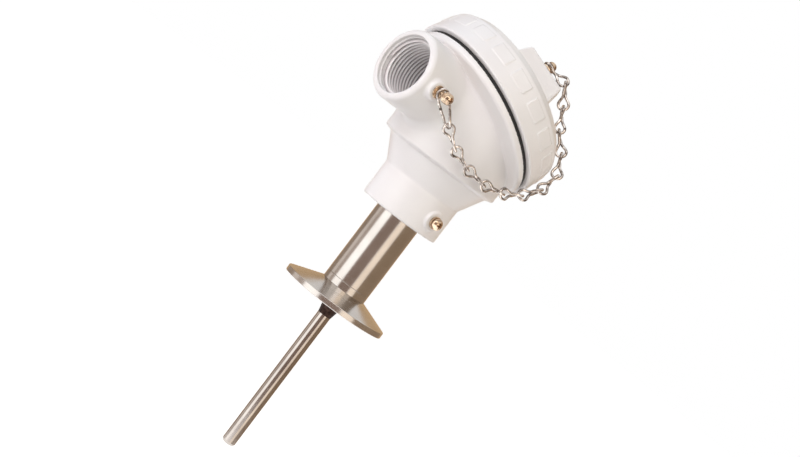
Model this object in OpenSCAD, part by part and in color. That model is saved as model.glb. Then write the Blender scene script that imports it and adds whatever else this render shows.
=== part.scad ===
// Sanitary resistance thermometer: a probe under a clamp cap, a pipe nipple, and a cast
// connection head with a tilted screw cover that is kept on a chain.
// Millimetres. +Z runs up the probe axis, and the origin is on the sealing face of the clamp cap.

/* [Probe] */
// Outside diameter of the sheath
sheath_d = 6.35; // [5:0.05:8]
// Wall thickness of the sheath
sheath_wall = 0.7; // [0.4:0.05:1]
// Length of the probe below the clamp face
probe_len = 76.2; // [60:0.1:200]
// Length of the sheath above the clamp face
sheath_rise = 24; // [15:1:34]
// Length of the solid plug that closes the tip
plug_len = 3; // [2:0.5:6]
// Corner radius of the tip
tip_r = 1.2; // [0.4:0.1:2]
// Length of the sensing element
element_len = 20; // [10:1:30]
// Diameter of the sensing element
element_d = 2.8; // [2:0.1:3]
// Length of the weld cone under the clamp cap
weld_len = 6.3; // [3:0.1:10]
// Radius of the weld cone where it meets the clamp cap
weld_r = 4.4; // [4.2:0.1:6]

/* [Clamp cap] */
// Diameter of the clamp cap
cap_d = 50.5; // [50:0.1:64]
// Height of the rim of the clamp cap
rim_h = 2.6; // [2:0.1:4]
// Angle of the clamp bevel above the rim
bevel_angle = 20; // [15:1:22]
// Middle diameter of the gasket groove
groove_d = 43.7; // [42:0.1:46]
// Radius of the gasket groove's section
groove_r = 1.5; // [1:0.1:1.8]

/* [Nipple] */
// Outside diameter of the nipple
nipple_d = 21.34; // [20:0.01:24]
// Wall thickness of the nipple
nipple_wall = 2.8; // [2:0.1:4]
// Length of the nipple that is screwed into the neck
nipple_grip = 15; // [10:1:16]

/* [Housing] */
// Height of the neck's lower end above the clamp face
neck_z = 46.9; // [40:0.1:120]
// Diameter of the neck
neck_d = 37.8; // [34:0.1:42]
// Height of the straight part of the neck
neck_h = 16.8; // [16:0.1:24]
// Height of the cone above the neck
cone_h = 11.2; // [9:0.1:16]
// Diameter of the cone at its top
cone_d = 50.5; // [46:0.1:54]
// Diameter of the drum
drum_d = 57.3; // [56:0.1:62]
// Wall thickness of the casting
wall = 3.4; // [2.6:0.1:4]
// Distance from the foot of the drum to the middle of the lid seat
seat_rise = 26.2; // [25:0.1:34]
// Distance of the middle of the lid seat behind the probe axis
seat_back = 3; // [0:0.5:4]
// Tilt of the lid axis from the probe axis
lid_tilt = 31; // [24:1:33]
// Radius of the lid flange
flange_r = 38.8; // [38:0.1:42]
// Thickness of the lid flange
flange_t = 3.3; // [2.8:0.1:5]
// Outside radius of the threaded collar inside the cover
collar_r = 35; // [34:0.1:36]
// Inside radius of the collar
collar_bore = 31.6; // [30:0.1:32]
// Height of the collar above the flange
collar_h = 11; // [8:0.5:12]

/* [Conduit entry] */
// Outside diameter of the conduit boss
entry_d = 33; // [31:0.1:34]
// Diameter of the threaded conduit hole
entry_bore = 26.2; // [24:0.1:27]
// Diameter of the recess at the mouth
mouth_d = 28.4; // [27.5:0.1:29.5]
// Depth of the recess at the mouth
mouth_depth = 1.8; // [1:0.1:3]
// Distance of the mouth from the probe axis
entry_reach = 50.7; // [46:0.1:60]
// Height of the conduit axis above the foot of the drum
entry_rise = 24.4; // [24:0.1:26]

/* [Cover] */
// Outside radius of the cover
cover_r = 40.8; // [40.5:0.1:45]
// Height of the cover's side wall up to the shoulder
cover_side = 13.4; // [12:0.1:18]
// Radius of the cover's shoulder
shoulder_r = 5.5; // [3:0.1:7]
// Height of the dome above the shoulder
dome_h = 9; // [4:0.1:10]
// Wall thickness of the cover
cover_wall = 3.6; // [3:0.1:4.5]
// Radial clearance between the cover and the collar
thread_gap = 0.7; // [0.4:0.1:1]
// Section diameter of the gasket
gasket_d = 2.4; // [1.8:0.1:2.6]
// Width of the gasket that shows between the flange and the cover
gasket_gap = 1.8; // [1.2:0.1:2]
// Height of the grip rib above the dome
rib_h = 8.8; // [6:0.1:14]
// Width of the grip rib at its top
rib_w = 6; // [5:0.1:9]
// Length of the flat top of the grip rib
rib_len = 19; // [14:0.5:26]
// Angle of the grip rib's sloping ends from upright
rib_slope = 35; // [20:1:45]
// Direction of the grip rib around the lid axis
rib_turn = -39; // [-60:1:60]
// Number of grip pads around the cover
pad_count = 12; // [6:1:16]

/* [Chain] */
// Wire diameter of the chain
wire_d = 1.2; // [1:0.1:1.3]
// Pitch of the chain links
link_pitch = 10.5; // [10:0.1:12]
// Outside width of a link's loop
loop_w = 5.8; // [5.6:0.1:6.2]
// Clearance between two hooked wires
wire_gap = 0.4; // [0.2:0.05:0.5]

/* [Screws] */
// Diameter of the chain screws
chain_screw_d = 3; // [2.5:0.1:3.2]
// Diameter of the neck's set screw
set_screw_d = 4; // [3:0.1:5]
// Diameter of the round screw bosses
boss_d = 9; // [8:0.1:11]

/* [Terminals] */
// Diameter of the terminal block
block_d = 42; // [38:0.5:44]
// Thickness of the terminal block
block_t = 6; // [4:0.5:7]
// Outside diameter of a lead wire
lead_d = 1.4; // [1:0.1:1.6]
// Distance of the terminals' circle inside the block's edge
terminal_inset = 8.5; // [8:0.1:9.5]

/* [Hidden] */
$fn = 96;
eps = 0.01;
// Clearance of a seated pin or tube in its hole
seat_gap = 0.05;

// Colours
steel = "#b9bcc0";
dark_steel = "#6d6a66";
paint = "#efebe9";
brass_colour = "#c9a24b";
ceramic_colour = "#f3efe6";
rubber = "#141313";

// Probe
sheath_r = sheath_d / 2;
sheath_bore = sheath_r - sheath_wall;
element_z = plug_len + 1 - probe_len;
seal_h = 4;
leads = 3;
lead_ring = lead_d;
// Clamp cap and nipple
weld_root = 1;
cap_h = rim_h + (cap_d - nipple_d) / 2 * tan(bevel_angle);
nipple_r = nipple_d / 2;
nipple_bore = nipple_r - nipple_wall;
nipple_top = neck_z + nipple_grip;
// Housing
drum_z = neck_z + neck_h + cone_h + 0.8;
drum_r = drum_d / 2;
cavity_r = drum_r - wall;
seat_z = drum_z + seat_rise;
entry_z = drum_z + entry_rise;
flange_top = -gasket_gap / 2;
flange_foot = flange_top - flange_t;
floor_z = nipple_top + 4;
shelf_z = drum_z + 2;
boss_r = boss_d / 2;
// Terminal block
block_z = drum_z + 4.5;
block_top = block_z + block_t;
terminal_w = 7.5;
terminal_h = 7;
terminal_len = 8;
terminal_ring = block_d / 2 - terminal_inset;
block_screw_ring = block_d / 2 - 5;
wire_z = block_top + terminal_h / 2;
bend_r = 3;
bend_seat = 0.05;
small_screw_d = 3;
small_head_h = 2.2;
post_r = 3.6;
ground_x = terminal_ring + terminal_len / 2 + post_r + 0.4;
ground_z = block_top + 0.5;
// Cover
rim_z = gasket_gap / 2;
shoulder_z = rim_z + cover_side;
dome_z = shoulder_z + shoulder_r;
dome_edge = cover_r - shoulder_r;
dome_top = dome_z + dome_h;
rib_top = dome_top + rib_h;
cover_bore = collar_r + thread_gap;
roof_z = max(shoulder_z - 1, rim_z + collar_h + 1);
gasket_r = flange_r - 0.4 - gasket_d / 2;
groove_depth = gasket_d - gasket_gap;
cover_stand = 5.2;
// Chain
wire_r = wire_d / 2;
loop_r = (loop_w - wire_d) / 2;
screw_loop_r = chain_screw_d / 2 + wire_r + 0.5;
set_z = neck_z + neck_h / 2 - 0.5;
hook_x = entry_reach - 8.2;
hook_y = entry_d / 2 + 2;
hook_z = entry_z - 0.8;
hook_stand = 6;

// The lid frame: its z runs out along the cover's axis, its x down the slope of the seat
module on_lid() translate([-seat_back, 0, seat_z]) rotate([0, lid_tilt, 0]) children();

// A point of the lid frame at an angle, radius and height, in the part's frame
function lid_point(angle, r, h) =
    let (x = -r * cos(angle), y = -r * sin(angle))
    [x * cos(lid_tilt) + h * sin(lid_tilt) - seat_back, y,
     h * cos(lid_tilt) - x * sin(lid_tilt) + seat_z];

lid_axis = [sin(lid_tilt), 0, cos(lid_tilt)];

// ---------- probe ----------

module sheath() {
    color(steel)
        rotate_extrude()
            polygon([[sheath_bore, plug_len - probe_len], [sheath_r, plug_len - probe_len],
                     [sheath_r, sheath_rise], [sheath_bore, sheath_rise]]);
}

module tip_plug() {
    corner = [for (a = [0:15:90]) [sheath_r - tip_r + tip_r * sin(a),
                                   tip_r - probe_len - tip_r * cos(a)]];
    color(steel)
        rotate_extrude()
            polygon(concat([[0, plug_len - probe_len], [0, -probe_len]], corner,
                           [[sheath_r, plug_len - probe_len]]));
}

module weld_cone() {
    step = 15;
    flare = [for (a = [0:step:90]) [weld_r - (weld_r - sheath_r) * sin(a),
                                    weld_len * (cos(a) - 1)]];
    color(dark_steel)
        rotate_extrude()
            polygon(concat([[sheath_r, weld_root], [weld_r, weld_root]], flare));
}

module sensing_element() {
    color(ceramic_colour)
        translate([0, 0, element_z])
            cylinder(d = element_d, h = element_len);
}

module insulation() {
    foot = plug_len - probe_len;
    color("#e6e2d8")
        difference() {
            translate([0, 0, foot])
                cylinder(r = sheath_bore, h = sheath_rise - foot);
            translate([0, 0, element_z])
                cylinder(d = element_d, h = element_len);
            for (i = [0:leads - 1])
                rotate([0, 0, i * 360 / leads])
                    translate([lead_ring, 0, element_z + element_len])
                        cylinder(d = lead_d, h = sheath_rise - element_z);
        }
}

module end_seal() {
    color("#3b2f2a")
        difference() {
            translate([0, 0, sheath_rise])
                cylinder(r = sheath_r, h = seal_h);
            for (i = [0:leads - 1])
                rotate([0, 0, i * 360 / leads])
                    translate([lead_ring, 0, sheath_rise - 1])
                        cylinder(d = lead_d, h = seal_h + 2);
        }
}

// One lead: up the probe, round a bend above the block, and out to its terminal
module lead_wire(i) {
    foot = element_z + element_len;
    rotate([0, 0, i * 360 / leads]) {
        translate([lead_ring, 0, foot])
            cylinder(d = lead_d, h = wire_z - bend_r + bend_seat - foot);
        translate([lead_ring + bend_r, 0, wire_z - bend_r])
            rotate([90, 0, 0])
                rotate([0, 0, 90])
                    rotate_extrude(angle = 90)
                        translate([bend_r, 0])
                            circle(d = lead_d - bend_seat, $fn = 32);
        translate([lead_ring + bend_r - bend_seat, 0, wire_z])
            rotate([0, 90, 0])
                cylinder(d = lead_d, h = terminal_ring - lead_ring - bend_r + bend_seat);
    }
}

// ---------- clamp cap and nipple ----------

module clamp_cap() {
    color(steel)
        rotate_extrude()
            difference() {
                polygon([[sheath_r, weld_root], [weld_r, weld_root], [weld_r, 0], [cap_d / 2, 0],
                         [cap_d / 2, rim_h], [nipple_r, cap_h], [sheath_r, cap_h]]);
                translate([groove_d / 2, 0])
                    circle(r = groove_r, $fn = 48);
            }
}

module nipple() {
    color(steel)
        translate([0, 0, cap_h])
            difference() {
                cylinder(r = nipple_r, h = nipple_top - cap_h);
                translate([0, 0, -1])
                    cylinder(r = nipple_bore, h = nipple_top - cap_h + 2);
            }
}

// ---------- housing ----------

module housing_body() {
    edge = 0.8;
    rotate_extrude()
        polygon([[0, neck_z], [neck_d / 2 - edge, neck_z], [neck_d / 2, neck_z + edge],
                 [neck_d / 2, neck_z + neck_h], [cone_d / 2, neck_z + neck_h + cone_h],
                 [drum_r - edge, drum_z - 0.3], [drum_r, drum_z + 0.3],
                 [drum_r, seat_z + drum_r], [0, seat_z + drum_r]]);
}

module lid_flange() {
    edge = 0.6;
    rotate_extrude()
        polygon([[0, flange_foot], [flange_r - edge, flange_foot],
                 [flange_r, flange_foot + edge], [flange_r, flange_top - edge],
                 [flange_r - edge, flange_top], [collar_r, flange_top],
                 [collar_r, flange_top + collar_h - 1], [collar_r - 1, flange_top + collar_h],
                 [0, flange_top + collar_h]]);
}

module entry_boss() {
    edge = 1;
    translate([0, 0, entry_z])
        rotate([0, -90, 0])
            rotate_extrude()
                polygon([[0, 5], [entry_d / 2, 5], [entry_d / 2, entry_reach - edge],
                         [entry_d / 2 - edge, entry_reach], [0, entry_reach]]);
}

// A round boss on the front, from inside the wall out to a distance from the middle plane
module front_boss(x, z, out) {
    translate([x, 0, z])
        rotate([90, 0, 0])
            translate([0, 0, out - 5])
                cylinder(d = boss_d, h = 5, $fn = 48);
}

// Everything that is hollow in the casting
module cavity() {
    // Way for the wires, a cone and a wide chamber that ends at the lid
    difference() {
        rotate_extrude()
            polygon([[0, nipple_top - eps], [nipple_bore, nipple_top - eps],
                     [nipple_bore, floor_z], [neck_d / 2 - wall, floor_z],
                     [cone_d / 2 - wall, shelf_z], [cavity_r, shelf_z],
                     [cavity_r, seat_z + drum_r + 1], [0, seat_z + drum_r + 1]]);
        on_lid()
            translate([0, 0, flange_top])
                cylinder(r = 2 * drum_r, h = 2 * drum_r);
        for (s = [-1, 1])
            translate([0, s * block_screw_ring, floor_z - 1])
                cylinder(r = 4, h = block_z - floor_z + 1, $fn = 48);
        translate([ground_x, 0, floor_z])
            cylinder(r = post_r, h = ground_z - floor_z, $fn = 48);
    }
    on_lid()
        translate([0, 0, flange_top - 1])
            cylinder(r = collar_bore, h = collar_h + 2);
    // Socket for the nipple
    translate([0, 0, neck_z - 1])
        cylinder(r = nipple_r + seat_gap, h = nipple_grip + 1);
    // Conduit hole
    translate([0, 0, entry_z])
        rotate([0, -90, 0]) {
            translate([0, 0, cavity_r / 2])
                cylinder(d = entry_bore, h = entry_reach);
            translate([0, 0, entry_reach - mouth_depth])
                cylinder(d = mouth_d, h = mouth_depth + 1);
        }
}

module screw_holes() {
    translate([0, 0, set_z])
        rotate([90, 0, 0])
            cylinder(d = set_screw_d + 2 * seat_gap, h = neck_d);
    translate([-hook_x, -hook_y + 6, hook_z])
        rotate([90, 0, 0])
            cylinder(d = chain_screw_d + 2 * seat_gap, h = 10);
    for (s = [-1, 1])
        translate([0, s * block_screw_ring, block_z - 6])
            cylinder(d = small_screw_d + 2 * seat_gap, h = 10);
    translate([ground_x, 0, ground_z - 5])
        cylinder(d = small_screw_d + 2 * seat_gap, h = 10);
}

module housing() {
    color(paint)
        difference() {
            union() {
                difference() {
                    union() {
                        housing_body();
                        entry_boss();
                        front_boss(-hook_x, hook_z, hook_y);
                        front_boss(0, set_z, neck_d / 2 + 0.8);
                    }
                    on_lid()
                        translate([0, 0, flange_top])
                            cylinder(r = 3 * drum_r, h = 2 * drum_r);
                }
                on_lid()
                    lid_flange();
            }
            cavity();
            screw_holes();
            on_lid()
                rotate_extrude()
                    translate([gasket_r - gasket_d / 2, flange_top - groove_depth])
                        square([gasket_d, groove_depth + 1]);
        }
}

module cover_gasket() {
    color(rubber)
        on_lid()
            rotate_extrude()
                translate([gasket_r, 0])
                    intersection() {
                        translate([0, rim_z - gasket_d / 2])
                            circle(d = gasket_d + 0.2, $fn = 48);
                        translate([-gasket_d / 2 + seat_gap, flange_top - groove_depth])
                            square([gasket_d - 2 * seat_gap, gasket_d - 0.1]);
                    }
}

// ---------- screws ----------

// A cross-recessed pan-head screw: head on +z, its underside at z = 0
module pan_screw(d, head_d, head_h, length) {
    bulge = (head_d * head_d / 4 + head_h * head_h) / (2 * head_h);
    difference() {
        union() {
            intersection() {
                translate([0, 0, head_h - bulge])
                    sphere(r = bulge);
                cylinder(d = head_d - 0.3, h = head_h + 1, $fn = 48);
            }
            translate([0, 0, -length])
                cylinder(d = d, h = length + eps, $fn = 48);
        }
        for (a = [0, 90])
            rotate([0, 0, a + 20])
                translate([-head_d * 0.3, -head_d * 0.06, head_h * 0.45])
                    cube([head_d * 0.6, head_d * 0.12, head_h]);
    }
}

module set_screw() {
    stand = neck_d / 2 + 2.6;
    color(steel)
        translate([0, -stand, set_z])
            rotate([90, 0, 0])
                pan_screw(set_screw_d, set_screw_d * 1.45, set_screw_d * 0.6,
                          stand - nipple_r - 0.1);
}

module chain_screw() {
    color(steel)
        translate([-hook_x, -hook_y - hook_stand, hook_z])
            rotate([90, 0, 0])
                pan_screw(chain_screw_d, chain_screw_d * 1.8, 2.2, hook_stand + 5);
}

module cover_screw() {
    color(steel)
        on_lid()
            translate([0, 0, rib_top + cover_stand])
                pan_screw(chain_screw_d, chain_screw_d * 1.6, 2.2, cover_stand + 7);
}

module block_screws() {
    color(steel)
        for (s = [-1, 1])
            translate([0, s * block_screw_ring, block_top])
                pan_screw(small_screw_d, small_screw_d * 1.93, small_head_h, block_t + 5);
}

module ground_screw() {
    color("#4c8a57")
        translate([ground_x, 0, ground_z])
            pan_screw(small_screw_d, small_screw_d * 1.87, small_head_h, small_screw_d * 1.5);
}

// ---------- terminals ----------

module terminal_block() {
    rib_r = block_d / 2 - 3;
    color(ceramic_colour)
        translate([0, 0, block_z])
            difference() {
                union() {
                    cylinder(d = block_d, h = block_t);
                    // Walls between the terminals
                    for (i = [0:leads - 1])
                        rotate([0, 0, (i + 0.5) * 360 / leads])
                            translate([6.5, -1, 0])
                                cube([rib_r - 13, 2, block_t + terminal_h - 1]);
                }
                translate([0, 0, -1])
                    cylinder(d = 9, h = block_t + 2);
                for (s = [-1, 1])
                    translate([0, s * block_screw_ring, -1])
                        cylinder(d = small_screw_d + 2 * seat_gap, h = block_t + 2);
                // Relief for the grounding post
                translate([ground_x + 1, 0, -1])
                    cylinder(r = 5.6, h = block_t + terminal_h + 2);
            }
}

module terminal(i) {
    color(brass_colour)
        rotate([0, 0, i * 360 / leads])
            difference() {
                translate([terminal_ring - terminal_len / 2, -terminal_w / 2, block_top])
                    cube([terminal_len, terminal_w, terminal_h]);
                translate([terminal_ring - terminal_len / 2 - 1, 0, wire_z])
                    rotate([0, 90, 0])
                        cylinder(d = lead_d + 2 * seat_gap, h = terminal_len + 2);
                translate([terminal_ring, 0, wire_z + lead_d / 2])
                    cylinder(d = small_screw_d + 2 * seat_gap, h = terminal_h);
            }
}

module terminal_screws() {
    color(brass_colour)
        for (i = [0:leads - 1])
            rotate([0, 0, i * 360 / leads])
                translate([terminal_ring, 0, block_top + terminal_h])
                    pan_screw(small_screw_d, small_screw_d * 1.8, small_head_h - 0.2,
                              terminal_h / 2 - lead_d / 2 - 0.1);
}

// ---------- cover ----------

module cover_shell() {
    bevel = 0.7;
    shoulder = [for (a = [0:10:90]) [dome_edge + shoulder_r * cos(a),
                                     shoulder_z + shoulder_r * sin(a)]];
    dome_r = (dome_edge * dome_edge + dome_h * dome_h) / (2 * dome_h);
    span = asin(dome_edge / dome_r);
    dome = [for (k = [1:8]) let (a = span * (8 - k) / 8)
               [dome_r * sin(a), dome_top - dome_r * (1 - cos(a))]];
    roof = [for (p = [dome_edge - 3, dome_edge / 2, 0])
               [p, dome_top - cover_wall - dome_r * (1 - cos(asin(p / dome_r)))]];
    rotate_extrude()
        polygon(concat([[cover_bore, rim_z], [cover_r - bevel, rim_z], [cover_r, rim_z + bevel]],
                       shoulder, dome, [[0, roof[2][1]], roof[1], roof[0], [cover_bore, roof_z]]));
}

module grip_rib() {
    foot = dome_z;
    spread = (rib_top - foot) * tan(rib_slope);
    flare = 2;
    intersection() {
        rotate([90, 0, 0])
            linear_extrude(3 * rib_w, center = true)
                polygon([[-rib_len / 2 - spread, foot], [rib_len / 2 + spread, foot],
                         [rib_len / 2, rib_top], [-rib_len / 2, rib_top]]);
        rotate([90, 0, 90])
            linear_extrude(2 * cover_r, center = true)
                polygon([[-rib_w / 2 - flare, foot], [rib_w / 2 + flare, foot],
                         [rib_w / 2, rib_top], [-rib_w / 2, rib_top]]);
    }
}

// Low pads on the side wall that give the hand a grip
module grip_pads() {
    pad_w = 9;
    for (i = [0:pad_count - 1])
        rotate([0, 0, (i + 0.5) * 360 / pad_count])
            translate([cover_r - 2, -pad_w / 2, shoulder_z - 6])
                cube([2.35, pad_w, 5]);
}

module cover() {
    color(paint)
        on_lid()
            difference() {
                union() {
                    cover_shell();
                    grip_pads();
                    rotate([0, 0, rib_turn])
                        grip_rib();
                }
                translate([0, 0, rib_top - 7.2])
                    cylinder(d = chain_screw_d + 2 * seat_gap, h = 10);
            }
}

// ---------- chain ----------

function unit(v) = v / norm(v);

// Smooth curve through the points p, as a list of points
function through(p, steps) =
    let (n = len(p) - 1)
    [for (i = [0:n - 1], s = [0:steps - 1])
        let (t = s / steps, a = p[max(i - 1, 0)], b = p[i], c = p[i + 1], d = p[min(i + 2, n)])
        0.5 * (2 * b + (c - a) * t + (2 * a - 5 * b + 4 * c - d) * t * t
               + (3 * b - 3 * c + d - a) * t * t * t), p[n]];

// Length of a list of points up to each of them
function lengths(p, i = 0, sum = 0) =
    i == len(p) - 1 ? [sum] : concat([sum], lengths(p, i + 1, sum + norm(p[i + 1] - p[i])));

// The point at a length along a list of points
function along(p, l, at, i = 0) =
    i >= len(p) - 2 || l[i + 1] >= at
        ? p[i] + (p[i + 1] - p[i]) * (at - l[i]) / (l[i + 1] - l[i])
        : along(p, l, at, i + 1);

// One link from point a to point b. Its first loop lies across the direction face, its second
// loop is a quarter turn round, and both wires run close together between them.
function link_rings(a, b, face, r1, r2, n_end = 4, n_mid = 6) =
    let (ex = unit(b - a), ea = unit(cross(face, ex)), eb = cross(ex, ea),
         reach = (wire_d + wire_gap) / 2, length = norm(b - a) + 2 * reach,
         waist = wire_r + 0.08,
         side = concat(
             [for (i = [1:n_end]) let (t = 90 * i / n_end) [r1 - r1 * cos(t), r1 * sin(t), 0]],
             [for (j = [1:n_mid - 1])
                 let (u = j / n_mid, s = abs(2 * u - 1), big = u < 0.5 ? r1 : r2)
                 [r1 + (length - r1 - r2) * u, waist + (big - waist) * s * s * (3 - 2 * s),
                  90 * u * u * (3 - 2 * u)]],
             [for (i = [0:n_end - 1]) let (t = 90 - 90 * i / n_end)
                 [length - r2 + r2 * cos(t), r2 * sin(t), 90]]),
         n = len(side),
         turn = concat([[0, 0, 0]], side, [[length, 0, 90]],
                       [for (i = [n - 1:-1:0]) [side[i][0], -side[i][1], side[i][2]]]),
         m = len(turn),
         mid = [for (p = turn) a + ex * (p[0] - reach) + (ea * cos(p[2]) + eb * sin(p[2])) * p[1]])
    [for (i = [0:m - 1])
        let (t = unit(mid[(i + 1) % m] - mid[(i + m - 1) % m]),
             flat = eb * cos(turn[i][2]) - ea * sin(turn[i][2]),
             nn = unit(cross(flat, t)), bb = cross(t, nn))
        [for (k = [0:7]) mid[i] + wire_r * (cos(45 * k) * nn + sin(45 * k) * bb)]];

// A closed wire ring of eight-sided sections
module closed_wire(rings) {
    m = len(rings);
    polyhedron([for (ring = rings) each ring],
               [for (i = [0:m - 1], k = [0:7])
                   let (a = i * 8 + k, b = i * 8 + (k + 1) % 8, j = (i + 1) % m,
                        c = j * 8 + (k + 1) % 8, d = j * 8 + k)
                   each [[a, b, c], [a, c, d]]]);
}

// The chain hangs from the screw on the conduit boss, passes under the flange and round the
// edge of the cover, and rises to the screw on the grip rib.
hook_point = [-hook_x, -hook_y - hook_stand / 2, hook_z];
first_link = 13.1;
first_end = hook_point + first_link * unit([0.64, -0.34, -0.69]);
eye_point = lid_point(0, 0, rib_top + cover_stand - 1.4);
last_link = 10.1;
last_start = eye_point + last_link * unit([0.42, -0.87, -0.27]);
route = through([first_end,
                 lid_point(70, cover_r - 9.6, -26),
                 lid_point(89, cover_r - 8.6, -24.5),
                 lid_point(104, cover_r - 4.7, -20.4),
                 lid_point(114.5, cover_r - 0.6, -14),
                 lid_point(122, cover_r + 2.3, -5.5),
                 lid_point(125, cover_r + 4.6, 4.6),
                 lid_point(127, cover_r + 3.9, shoulder_z + 0.8),
                 lid_point(128.5, dome_edge + 3.8, dome_z + 4.2),
                 lid_point(127.5, dome_edge - 7, dome_top - 0.5),
                 lid_point(124.5, dome_edge - 15.8, rib_top - 3),
                 last_start], 12);
route_len = lengths(route);
link_count = round(route_len[len(route) - 1] / link_pitch);
joints = [for (i = [0:link_count])
             along(route, route_len, route_len[len(route) - 1] * i / link_count)];
split = floor(link_count / 2);
// The way that the first loop of each link faces
facing = [-0.69, -0.72, 0.05];

module links(first, last) {
    for (i = [first:last])
        closed_wire(link_rings(joints[i], joints[i + 1],
                               unit(facing + 0.12 * [sin(130 * i), cos(70 * i), 0]),
                               loop_r, loop_r));
}

module chain_left() { color(steel) links(0, split - 1); }

module chain_right() { color(steel) links(split, link_count - 1); }

module housing_link() {
    color(steel)
        closed_wire(link_rings(hook_point - unit(first_end - hook_point)
                                   * (screw_loop_r - (wire_d + wire_gap) / 2),
                               first_end, [0, -1, 0], screw_loop_r, loop_r));
}

module cover_link() {
    back = unit(eye_point - last_start);
    color(steel)
        closed_wire(link_rings(last_start,
                               eye_point + back * (screw_loop_r - (wire_d + wire_gap) / 2),
                               cross(lid_axis, back), loop_r, screw_loop_r));
}

clamp_cap();
sheath();
tip_plug();
weld_cone();
sensing_element();
insulation();
end_seal();
nipple();
housing();
set_screw();
terminal_block();
terminal(0);  // terminal_1
terminal(1);  // terminal_2
terminal(2);  // terminal_3
terminal_screws();
block_screws();
color("#b02a20") lead_wire(0);  // lead_wire_1
color("#b02a20") lead_wire(1);  // lead_wire_2
color("#e8e6e0") lead_wire(2);  // lead_wire_3
ground_screw();
cover_gasket();
cover();
cover_screw();
chain_screw();
housing_link();
cover_link();
chain_left();
chain_right();
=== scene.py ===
import math

import bpy
import numpy as np
from mathutils import Matrix, Vector


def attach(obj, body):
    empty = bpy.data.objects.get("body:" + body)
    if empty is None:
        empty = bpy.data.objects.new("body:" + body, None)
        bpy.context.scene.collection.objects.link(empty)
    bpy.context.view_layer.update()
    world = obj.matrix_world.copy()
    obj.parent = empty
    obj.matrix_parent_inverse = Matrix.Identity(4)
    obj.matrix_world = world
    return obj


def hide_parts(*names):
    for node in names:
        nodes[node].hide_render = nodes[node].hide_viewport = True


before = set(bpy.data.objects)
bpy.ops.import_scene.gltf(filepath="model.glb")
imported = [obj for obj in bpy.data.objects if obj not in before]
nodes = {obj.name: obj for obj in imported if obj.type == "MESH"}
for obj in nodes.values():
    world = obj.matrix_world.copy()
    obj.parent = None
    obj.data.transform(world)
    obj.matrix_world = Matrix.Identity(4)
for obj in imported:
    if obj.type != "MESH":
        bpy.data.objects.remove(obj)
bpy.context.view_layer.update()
MM = 0.001

# ---------------------------------------------------------------- sizes, in millimetres
SHEATH_R = 3.175
PROBE_LEN = 76.2
WELD_R = 4.4
WELD_LEN = 6.3
CAP_R = 25.25
RIM_H = 2.6
BEVEL = math.tan(math.radians(20))
NIPPLE_R = 10.67
NIPPLE_BORE = 7.87
NIPPLE_TOP = 61.9
CAP_H = RIM_H + (CAP_R - NIPPLE_R) * BEVEL
NECK_Z = 46.9
NECK_R = 18.9
NECK_H = 16.8
CONE_H = 11.2
CONE_R = 25.25
DRUM_Z = NECK_Z + NECK_H + CONE_H + 0.8
DRUM_R = 28.65
WALL = 3.4
NECK_FLOOR_Z = 65.9
DRUM_FLOOR_Z = 77.7
SEAT_Z = DRUM_Z + 26.2
SEAT_BACK = 3.0
TILT = math.radians(31)
FLANGE_R = 38.8
FLANGE_TOP = -0.9
FLANGE_FOOT = FLANGE_TOP - 3.3
COLLAR_R = 35.0
COLLAR_BORE = 31.6
COLLAR_H = 11.0
ENTRY_R = 16.5
ENTRY_BORE = 13.1
MOUTH_R = 13.5
MOUTH_DEPTH = 1.8
FIRST_RING_R = 12.2
THREAD_CREST = 11.95
THREAD_PITCH = 1.814
THREAD_TURNS = 13
ENTRY_REACH = 50.7
ENTRY_Z = DRUM_Z + 24.4
COVER_R = 40.8
DRAFT = 1.4
RIM_Z = 0.7
SHOULDER_Z = 13.6
SHOULDER_R = 5.2
DOME_Z = SHOULDER_Z + SHOULDER_R
DOME_EDGE = COVER_R - DRAFT - SHOULDER_R
DOME_H = 8.0
DOME_TOP = DOME_Z + DOME_H
RIB_H = 12.8
RIB_TOP = DOME_TOP + RIB_H
RIB_W = 7.0
RIB_LEN = 22.8
RIB_SLOPE = math.tan(math.radians(14))
RIB_TURN = math.radians(-50)
PADS = 18
PAD_HALF_W = 4.7
PAD_HALF_H = 2.8
PAD_PROUD = 0.14
PAD_DROP = 3.4
COVER_SKIN = 3.6
COVER_STAND = 3.15
WIRE_D = 1.2
WIRE_GAP = 0.4
LINK_WIRE_R = 0.63
LOOP_R = 2.3
LINK_PITCH = 10.5
CHAIN_SCREW_D = 3.0
SET_SCREW_D = 4.0
BOSS_R = 4.5
HOOK_X = ENTRY_REACH - 8.2
HOOK_Y = ENTRY_R + 2
HOOK_Z = ENTRY_Z - 0.8
HOOK_STAND = 7.5
SET_Z = NECK_Z + NECK_H / 2 - 0.5

# ---------------------------------------------------------------- frames
LID_AXIS = np.array([math.sin(TILT), 0, math.cos(TILT)])
LID = np.array([[math.cos(TILT), 0, -math.sin(TILT)], [0, 1, 0], [math.sin(TILT), 0, math.cos(TILT)]])
LID_AT = np.array([-SEAT_BACK, 0, SEAT_Z])


def to_lid(p):
    return (p - LID_AT) @ LID.T


def from_lid(p):
    return np.asarray(p, float) @ LID + LID_AT


def lid_point(angle, r, h):
    a = math.radians(angle)
    return from_lid([-r * math.cos(a), -r * math.sin(a), h])


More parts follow.
